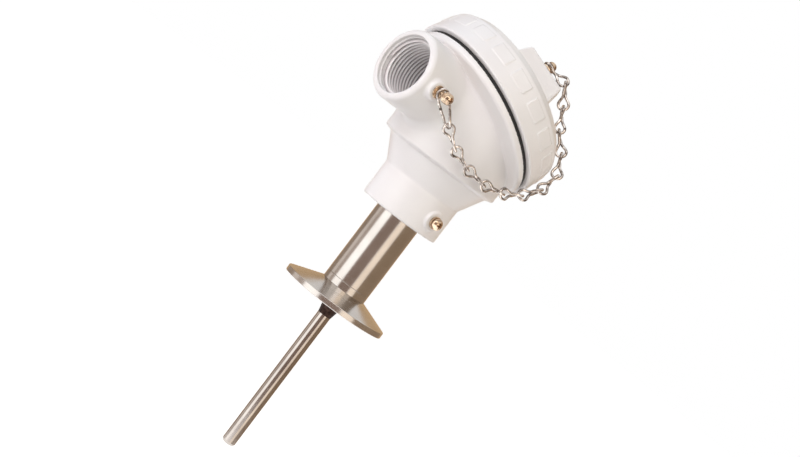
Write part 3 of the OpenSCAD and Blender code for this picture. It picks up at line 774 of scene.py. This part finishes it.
stand = NECK_R + 2.6
add_screw("set_screw_cross", SET_SCREW_D, SET_SCREW_D * 1.45, SET_SCREW_D * 0.6, stand - NIPPLE_R - 0.1,
          TO_MINUS_Y, (0, -stand, SET_Z), ROOT, "set_screw", 0.2, 0.2)
washer("set_screw_washer", SET_SCREW_D / 2 + 0.1, SET_SCREW_D * 0.72, -1.7, -0.6, TO_MINUS_Y,
       (0, -stand, SET_Z), ROOT)
hook_head = (-HOOK_X, -HOOK_Y - HOOK_STAND, HOOK_Z)
add_screw("chain_screw_cross", CHAIN_SCREW_D, CHAIN_SCREW_D * 1.8, 2.2, HOOK_STAND + 5, TO_MINUS_Y, hook_head,
          ROOT, "chain_screw", 0.5, 0.3)
washer("chain_screw_washer", CHAIN_SCREW_D / 2 + 0.1, 2.9, -HOOK_STAND + 0.02, -HOOK_STAND + 0.7, TO_MINUS_Y,
       hook_head, ROOT)
washer("chain_screw_collar", CHAIN_SCREW_D / 2 + 0.1, 2.5, -1.6, -0.02, TO_MINUS_Y, hook_head, ROOT)
top = lid_point(0, 0, RIB_TOP + COVER_STAND)
add_screw("cover_screw_cross", CHAIN_SCREW_D, CHAIN_SCREW_D * 1.6, 2.2, COVER_STAND + 7, TO_LID, top, "cover",
          "cover_screw", 0.3, 0.5)
washer("cover_screw_washer", CHAIN_SCREW_D / 2 + 0.1, 3.1, -COVER_STAND + 0.02, -COVER_STAND + 0.7, TO_LID,
       top, "cover")


# ---------------------------------------------------------------- chain
def unit(v):
    v = np.asarray(v, float)
    return v / np.linalg.norm(v)


def through(points, steps):
    """A smooth curve through the points."""
    p = [np.array(q, float) for q in points]
    n = len(p) - 1
    out = []
    for i in range(n):
        a, b, c, d = p[max(i - 1, 0)], p[i], p[i + 1], p[min(i + 2, n)]
        for s in range(steps):
            t = s / steps
            out.append(0.5 * (2 * b + (c - a) * t + (2 * a - 5 * b + 4 * c - d) * t * t
                              + (3 * b - 3 * c + d - a) * t ** 3))
    return out + [p[n]]


def link_arrays(a, b, face, r1, r2, n_end=9, n_mid=16, sides=12, waist=WIRE_D / 2 + 0.08):
    """A closed wire with a loop of radius r1 round a and one of radius r2, a quarter turn on, round b."""
    a, b = np.array(a, float), np.array(b, float)
    ex = unit(b - a)
    ea = unit(np.cross(face, ex))
    eb = np.cross(ex, ea)
    reach = (WIRE_D + WIRE_GAP) / 2
    length = np.linalg.norm(b - a) + 2 * reach
    side = []
    for i in range(1, n_end + 1):
        t = math.radians(90 * i / n_end)
        side.append((r1 - r1 * math.cos(t), r1 * math.sin(t), 0))
    for j in range(1, n_mid):
        u = j / n_mid
        s = abs(2 * u - 1)
        big = r1 if u < 0.5 else r2
        side.append((r1 + (length - r1 - r2) * u, waist + (big - waist) * s * s * (3 - 2 * s),
                     90 * u * u * (3 - 2 * u)))
    for i in range(n_end):
        t = math.radians(90 - 90 * i / n_end)
        side.append((length - r2 + r2 * math.cos(t), r2 * math.sin(t), 90))
    turn = [(0, 0, 0)] + side + [(length, 0, 90)] + [(x, -y, t) for x, y, t in reversed(side)]
    m = len(turn)
    mid = []
    for x, y, t in turn:
        t = math.radians(t)
        mid.append(a + ex * (x - reach) + (ea * math.cos(t) + eb * math.sin(t)) * y)
    verts, faces = [], []
    for i in range(m):
        t = unit(mid[(i + 1) % m] - mid[i - 1])
        w = math.radians(turn[i][2])
        flat = eb * math.cos(w) - ea * math.sin(w)
        nn = unit(np.cross(flat, t))
        bb = np.cross(t, nn)
        for k in range(sides):
            q = 2 * math.pi * k / sides
            verts.append(mid[i] + LINK_WIRE_R * (math.cos(q) * nn + math.sin(q) * bb))
        j = (i + 1) % m
        for k in range(sides):
            l = (k + 1) % sides
            faces.append((i * sides + k, i * sides + l, j * sides + l, j * sides + k))
    return verts, faces


def wire_piece(name, links, body, node):
    verts, faces = [], []
    for v, f in links:
        n = len(verts)
        verts += v
        faces += [tuple(i + n for i in q) for q in f]
    add_mesh(name, verts, faces, NICKEL_PAINTED_REFLECTION, body, replaces=(node,), slot="chain")


screw_loop = CHAIN_SCREW_D / 2 + WIRE_D / 2 + 0.5
hook_point = np.array([-HOOK_X, -HOOK_Y - HOOK_STAND / 2, HOOK_Z])
first_end = hook_point + 13.2 * unit([0.71, -0.25, -0.66])
eye_point = lid_point(0, 0, RIB_TOP + COVER_STAND - 1.1)
last_start = eye_point + 10.1 * unit([0.5, -0.84, -0.13])
route = through([first_end, lid_point(71, COVER_R - 11.1, -25.6), lid_point(91, COVER_R - 10.1, -23.7),
                 lid_point(106.5, COVER_R - 5.9, -19.6), lid_point(117, COVER_R - 1.5, -13),
                 lid_point(125, COVER_R + 1.7, -4.6), lid_point(129, COVER_R + 3.8, 5.2),
                 lid_point(131, COVER_R + 2.6, SHOULDER_Z + 1.5), lid_point(132.5, DOME_EDGE + 2.9, DOME_Z + 4.4),
                 lid_point(133, DOME_EDGE - 7.1, DOME_TOP + 2), lid_point(131.5, DOME_EDGE - 15.8, RIB_TOP - 3),
                 last_start], 12)
length = np.concatenate([[0], np.cumsum([np.linalg.norm(q - p) for p, q in zip(route, route[1:])])])
count = round(length[-1] / LINK_PITCH)
joints = [np.array([np.interp(length[-1] * i / count, length, [p[k] for p in route]) for k in range(3)])
          for i in range(count + 1)]
links = []
for i in range(count):
    face = unit(np.array([-0.69, -0.72, 0.05])
                + 0.12 * np.array([math.sin(math.radians(130 * i)), math.cos(math.radians(70 * i)), 0]))
    links.append(link_arrays(joints[i], joints[i + 1], face, LOOP_R, LOOP_R))
wire_piece("chain_lower_links", links[:count // 2], "chain_housing_end", "chain_left")
wire_piece("chain_upper_links", links[count // 2:], "chain_cover_end", "chain_right")
inset = screw_loop - (WIRE_D + WIRE_GAP) / 2
first = link_arrays(hook_point - unit(first_end - hook_point) * inset, first_end, [0, -1, 0], screw_loop, LOOP_R,
                    waist=1.9)
wire_piece("chain_first_link", [first], "chain_housing_end", "housing_link")
back = unit(eye_point - last_start)
last = link_arrays(last_start, eye_point + back * inset, np.cross(LID_AXIS, back), 2.4, screw_loop)
wire_piece("chain_last_link", [last], "cover_lift", "cover_link")


# ---------------------------------------------------------------- studio
def stage_mesh(name, verts, faces, material):
    mesh = bpy.data.meshes.new(name)
    mesh.from_pydata(verts, [], faces)
    obj = bpy.data.objects.new(name, mesh)
    bpy.context.scene.collection.objects.link(obj)
    mesh.materials.append(material)
    return obj


def seen_rays(tree):
    """1 for camera, glossy and transmission rays, 0 for those that carry light to the object."""
    path = tree.nodes.new("ShaderNodeLightPath")
    out = path.outputs["Is Camera Ray"]
    for other in ("Is Glossy Ray", "Is Transmission Ray"):
        most = tree.nodes.new("ShaderNodeMath")
        most.operation = "MAXIMUM"
        tree.links.new(out, most.inputs[0])
        tree.links.new(path.outputs[other], most.inputs[1])
        out = most.outputs[0]
    return out


pale = Nodes("pale_floor")
pale.link(pale.ramp(pale.noise(pale.place(), 3.0), [(0.0, (0.9, 0.9, 0.9)), (1.0, (0.93, 0.93, 0.93))]),
          pale.bsdf.inputs["Base Color"])
pale.set(Roughness=0.8, Emission_Color=(1, 1, 1, 1))
pale.link(pale.span(seen_rays(pale.tree), 0.0, 0.85), pale.bsdf.inputs["Emission Strength"])
FLOOR_HALF, FLOOR_Z = 6, -0.22
stage_mesh("floor", [(x * FLOOR_HALF, y * FLOOR_HALF, FLOOR_Z) for x, y in ((-1, -1), (1, -1), (1, 1), (-1, 1))],
           [(0, 1, 2, 3)], pale.mat)

VIEW_BACK = Vector((-0.6934, -0.7191, 0.0472))
ACROSS = Vector((0.7199, -0.6941, 0.0)).normalized()
TOWARD = Vector((VIEW_BACK.x, VIEW_BACK.y, 0.0)).normalized()
CENTRE = Vector((-0.005, 0, 0.07))


def direction(angle):
    """A plan direction: 0 towards the camera, positive to the camera's right."""
    a = math.radians(angle)
    return TOWARD * math.cos(a) + ACROSS * math.sin(a)


def flag(name, first, last, low, high, colour, radius=0.75):
    """A curved panel around the object that only reflections see."""
    mat = bpy.data.materials.new(name)
    mat.use_nodes = True
    tree = mat.node_tree
    tree.nodes.clear()
    out = tree.nodes.new("ShaderNodeOutputMaterial")
    emission = tree.nodes.new("ShaderNodeEmission")
    emission.inputs["Color"].default_value = (*colour, 1)
    tree.links.new(emission.outputs[0], out.inputs["Surface"])
    n = max(2, int((last - first) / 6))
    verts, faces = [], []
    for i in range(n + 1):
        d = direction(first + (last - first) * i / n) * radius + CENTRE
        verts += [(d.x, d.y, low), (d.x, d.y, high)]
    for i in range(n):
        faces.append((2 * i, 2 * i + 2, 2 * i + 3, 2 * i + 1))
    obj = stage_mesh(name, verts, faces, mat)
    for rays in ("camera", "diffuse", "shadow", "transmission", "volume_scatter"):
        setattr(obj, "visible_" + rays, False)


flag("flag_front", -31, 21, -0.19, 0.42, (0.36, 0.26, 0.215))
flag("top_left", -31, -4, 0.5, 0.86, (2.9, 2.85, 2.8), 0.74)
flag("top_right", -4, 22, 0.5, 0.86, (2.6, 2.3, 1.95), 0.74)
flag("flag_left", -150, -112, -0.215, 0.8, (0.44, 0.34, 0.27))
flag("flag_right", 53, 150, -0.215, 0.8, (0.40, 0.29, 0.2))
flag("flag_back_left", -180, -150, -0.215, 0.52, (0.62, 0.43, 0.25))
flag("flag_back_right", 150, 180, -0.215, 0.52, (0.62, 0.43, 0.25))
flag("soft_left", -112, -92, -0.215, 0.7, (0.95, 0.86, 0.8))
flag("soft_dip", -92, -72, -0.215, 0.7, (0.64, 0.54, 0.48))
flag("box_left", -71, -31, -0.215, 0.7, (1.9, 1.88, 1.86), 0.73)
flag("box_right", 23, 52, -0.215, 0.7, (1.6, 1.4, 1.2), 0.73)
flag("streak_left", -177.0, -174.6, 0.5, 1.1, (2.4, 2.36, 2.3), 0.72)
flag("streak_right", 174.6, 177.0, 0.5, 1.1, (2.2, 1.95, 1.65), 0.72)

world = bpy.data.worlds.new("studio")
bpy.context.scene.world = world
world.use_nodes = True
tree = world.node_tree
tree.nodes.clear()
fill = tree.nodes.new("ShaderNodeBackground")
fill.inputs["Color"].default_value = (1.0, 0.86, 0.84, 1)
fill.inputs["Strength"].default_value = 0.125
white = tree.nodes.new("ShaderNodeBackground")
white.inputs["Color"].default_value = (1, 1, 1, 1)
white.inputs["Strength"].default_value = 1.0
mix = tree.nodes.new("ShaderNodeMixShader")
out = tree.nodes.new("ShaderNodeOutputWorld")
tree.links.new(seen_rays(tree), mix.inputs["Fac"])
tree.links.new(fill.outputs[0], mix.inputs[1])
tree.links.new(white.outputs[0], mix.inputs[2])
tree.links.new(mix.outputs[0], out.inputs["Surface"])


def lamp(name, angle, height, power, colour, distance=1.0, size=0.55):
    """A soft square lamp at a plan direction and a height in degrees above the object's middle."""
    light = bpy.data.lights.new(name, "AREA")
    light.shape = "SQUARE"
    light.size = size
    light.energy = power
    light.color = colour
    obj = bpy.data.objects.new(name, light)
    bpy.context.scene.collection.objects.link(obj)
    e = math.radians(height)
    obj.location = CENTRE + (direction(angle) * math.cos(e) + Vector((0, 0, math.sin(e)))) * distance
    obj.rotation_euler = (CENTRE - obj.location).to_track_quat("-Z", "Y").to_euler()
    obj.visible_glossy = False


lamp("key", -30, 22, 3.45, (0.99, 0.96, 1.0))
lamp("key_side", -60, 22, 1.76, (1.0, 0.97, 1.0))
lamp("key_low", -30, -8, 1.25, (0.95, 0.97, 1.0))
lamp("left_low", -120, -8, 3.2, (0.98, 0.97, 1.0))
lamp("left_high", -105, 52, 2.3, (0.6, 0.84, 1.0))
lamp("right", 30, 22, 1.96, (0.99, 1.0, 0.87))
lamp("right_high", 30, 52, 1.05, (1.0, 0.98, 0.91))
lamp("right_side", 90, 22, 2.05, (1.0, 0.93, 0.83))
lamp("right_low", 120, -8, 1.8, (1.0, 0.81, 0.74))

# ---------------------------------------------------------------- camera
back = VIEW_BACK.normalized()
up = back.cross(ACROSS).normalized()
roll = math.radians(37.151)
cam_x = ACROSS * math.cos(roll) + up * math.sin(roll)
cam_y = up * math.cos(roll) - ACROSS * math.sin(roll)
camera = bpy.data.cameras.new("camera")
camera.lens = 93.807
camera.sensor_width = 36
camera.sensor_fit = "HORIZONTAL"
camera.clip_start, camera.clip_end = 0.05, 30
cam = bpy.data.objects.new("camera", camera)
bpy.context.scene.collection.objects.link(cam)
turn = Matrix((cam_x, cam_y, back)).transposed().to_4x4()
cam.matrix_world = Matrix.Translation(Vector((-620.2, -648.4, 85.7)) * MM) @ turn
bpy.context.scene.camera = cam
bpy.context.scene.view_settings.view_transform = "Standard"
